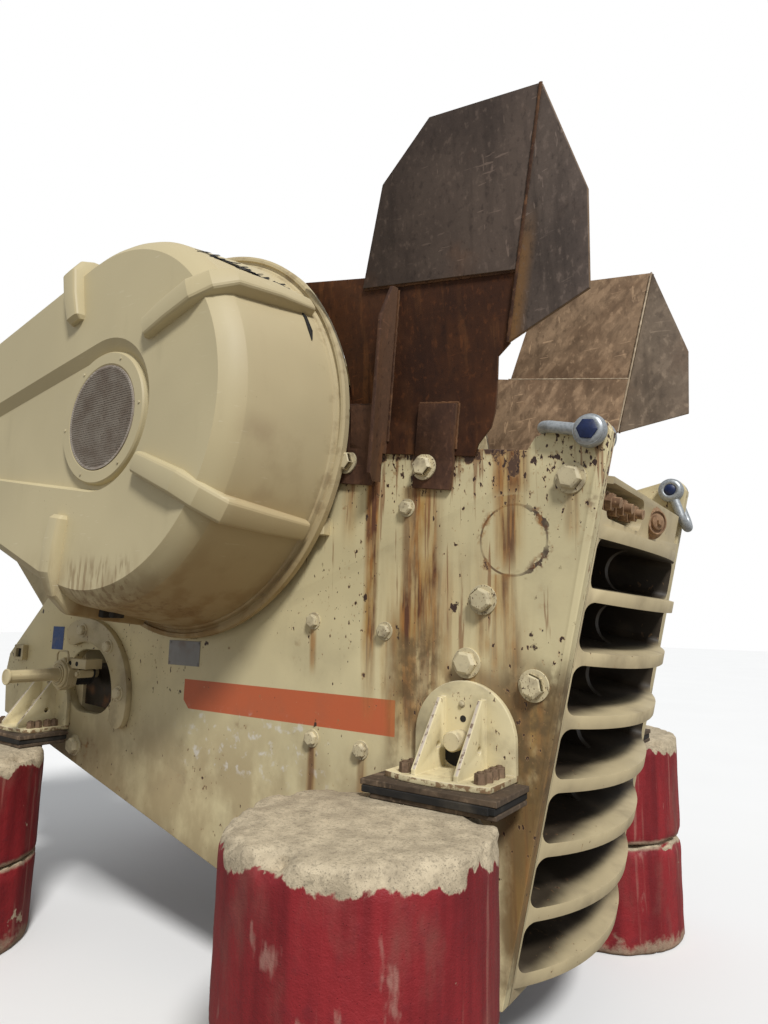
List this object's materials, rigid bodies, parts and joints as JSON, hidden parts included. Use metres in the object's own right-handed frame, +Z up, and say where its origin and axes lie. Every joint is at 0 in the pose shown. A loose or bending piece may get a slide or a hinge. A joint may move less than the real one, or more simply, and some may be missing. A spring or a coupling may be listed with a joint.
{
  "type": "jaw crusher",
  "caption": "Single-toggle jaw crusher with a ribbed front casting, round belt-drive guard, leaning feed chute plates and lifting shackles, standing on painted concrete drums",
  "frame": {"origin": "middle of the bounding box, on the ground under the drums", "axes": "+X to the front, the fixed-jaw end, +Z up, -Y the side with the belt drive"},
  "size_m": [4.9937, 3.6798, 4.2354],
  "materials": {
    "cream_paint": "worn cream paint over cast steel, with rust at chips and bolts",
    "guard_moulding": "sun-faded beige moulding",
    "rusted_plate": "dark brown rusted steel plate",
    "jaw_steel": "worn manganese steel casting",
    "worked_steel": "machined steel",
    "black_rubber": "black rubber",
    "grille_mesh": "rusty wire mesh",
    "motor_paint": "grey-blue motor paint",
    "spring_steel": "dark spring steel",
    "drum_paint": "concrete with crimson paint on the sides",
    "shackle_zinc": "dull galvanised steel",
    "pin_paint": "blue painted steel"
  },
  "bodies": {
    "crusher": {"near_side_plate": "cream_paint", "far_side_plate": "cream_paint", "front_frame": "cream_paint", "rear_frame": "cream_paint", "pitman": "cream_paint", "bearing_housings": "cream_paint", "near_flywheel": "cream_paint", "far_flywheel": "cream_paint", "guard_brackets": "cream_paint", "motor_base": "cream_paint", "motor_brackets": "cream_paint", "front_feet": "cream_paint", "rear_feet": "cream_paint", "adjuster_flanges": "cream_paint", "adjuster_cylinders": "cream_paint", "drive_guard": "guard_moulding", "far_guard": "guard_moulding", "near_chute_wall": "rusted_plate", "near_chute_wing": "rusted_plate", "near_chute_front_wing": "rusted_plate", "near_chute_bars": "rusted_plate", "far_chute_wall": "rusted_plate", "far_chute_wing": "rusted_plate", "far_chute_front_wing": "rusted_plate", "far_chute_bars": "rusted_plate", "jaw_clamp_bosses": "rusted_plate", "fixed_jaw_die": "jaw_steel", "moving_jaw_die": "jaw_steel", "cheek_plates": "jaw_steel", "motor_pulley": "jaw_steel", "eccentric_shaft": "worked_steel", "tension_rod": "worked_steel", "toggle_plate": "worked_steel", "adjusting_wedge": "worked_steel", "drive_belts": "black_rubber", "foot_pads": "black_rubber", "guard_grilles": "grille_mesh", "motor": "motor_paint", "tension_spring": "spring_steel", "upper_drums": "drum_paint", "lower_drums": "drum_paint"},
    "near_shackle": {"near_shackle_bow": "shackle_zinc", "near_shackle_pin": "pin_paint"},
    "far_shackle": {"far_shackle_bow": "shackle_zinc", "far_shackle_pin": "pin_paint"}
  },
  "joints": [
    {"name": "near_shackle_hinge", "type": "hinge", "parent": "crusher", "child": "near_shackle", "pos_m": [2.402, -0.72, 2.66], "axis": [0, 1, 0], "range_deg": [0, 238]},
    {"name": "far_shackle_hinge", "type": "hinge", "parent": "crusher", "child": "far_shackle", "pos_m": [2.402, 0.72, 2.66], "axis": [0, 1, 0], "range_deg": [-238, 0]}
  ]
}
